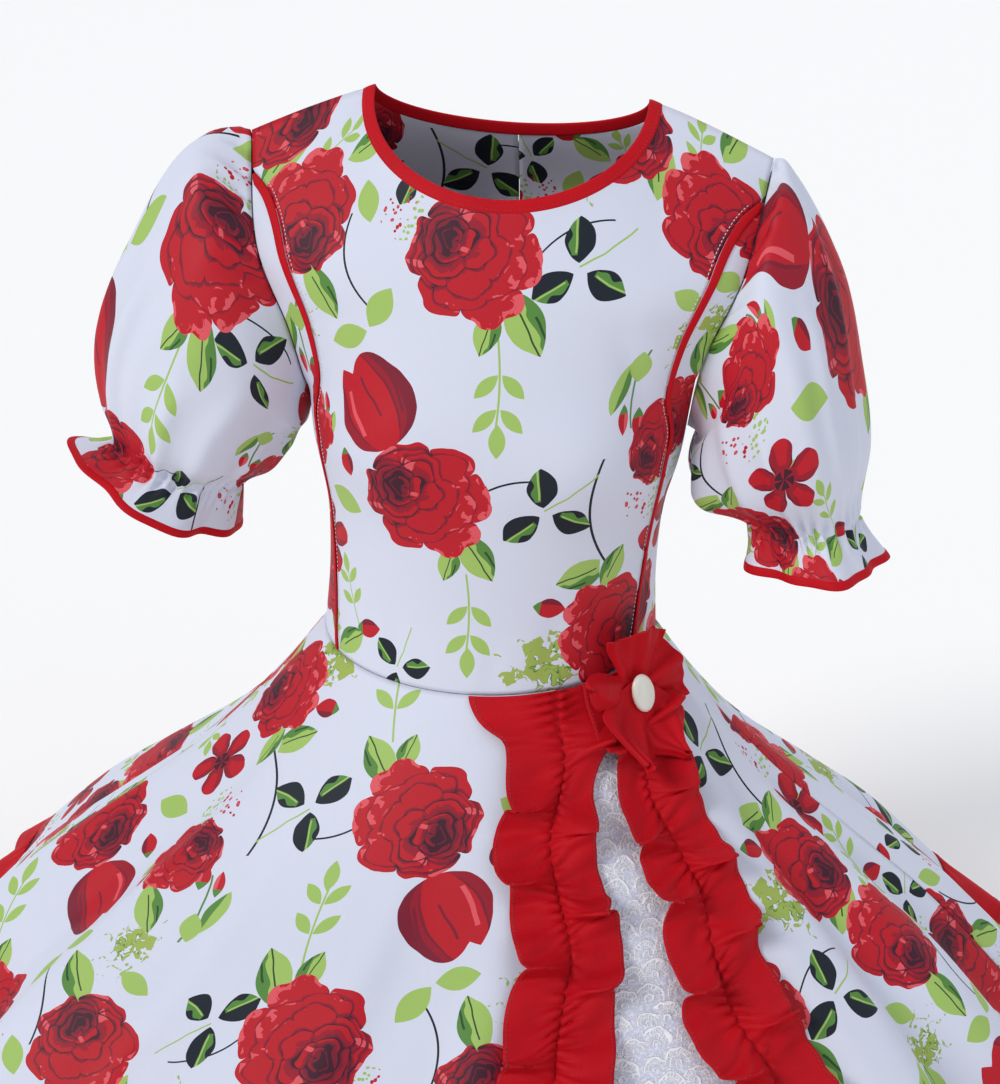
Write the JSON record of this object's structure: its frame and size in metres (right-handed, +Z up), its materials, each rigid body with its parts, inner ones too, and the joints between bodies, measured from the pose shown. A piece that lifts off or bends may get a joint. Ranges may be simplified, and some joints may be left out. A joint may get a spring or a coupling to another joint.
{
  "type": "cueca dress",
  "caption": "Cueca dress in its worn, hollow form: fitted princess-line bodice, puffed elbow sleeves, very full skirt with a red gathered hem and a lace slit edged by red ruffles under a bow.",
  "frame": {"origin": "On the shoulder line, midway between the two neck points, where a wearer's shoulders hold the dress up.", "axes": "+Z is up, the front of the dress faces -Y, and +X is the wearer's left."},
  "size_m": [1.0048, 0.9251, 0.7782],
  "materials": {
    "floral": "light satin-faced twill, white ground printed with red roses and green leaves",
    "red": "plain red cloth with a slight sheen, gathered, bound and topstitched",
    "lace": "white corded lace with shiny threads",
    "lining": "pale satin lining",
    "button": "off-white, softly glossy",
    "zip": "off-white moulded slider"
  },
  "bodies": {
    "root": {"front_centre": "floral", "front_side_left": "floral", "front_side_right": "floral", "back_left": "floral", "back_right": "floral", "piping_left": "red", "piping_right": "red", "neck_binding": "red", "sleeve_left": "floral", "sleeve_right": "floral", "cuff_binding_left": "red", "cuff_binding_right": "red", "skirt_front_left": "floral", "skirt_front_right": "floral", "skirt_back_left": "floral", "skirt_back_right": "floral", "hem_ruffle_front_left": "red", "hem_ruffle_front_right": "red", "hem_ruffle_back_left": "red", "hem_ruffle_back_right": "red", "slit_lace": "lace", "slit_lining": "lining", "slit_ruffle_left": "red", "slit_ruffle_right": "red", "bow_tail_left": "red", "bow_tail_right": "red", "bow_wing_left": "red", "bow_loop_left": "red", "bow_loop_right": "red", "button": "button", "zip_slider": "zip", "hem_ruffle_slit": "red", "bow_gather": "red"}
  },
  "joints": []
}
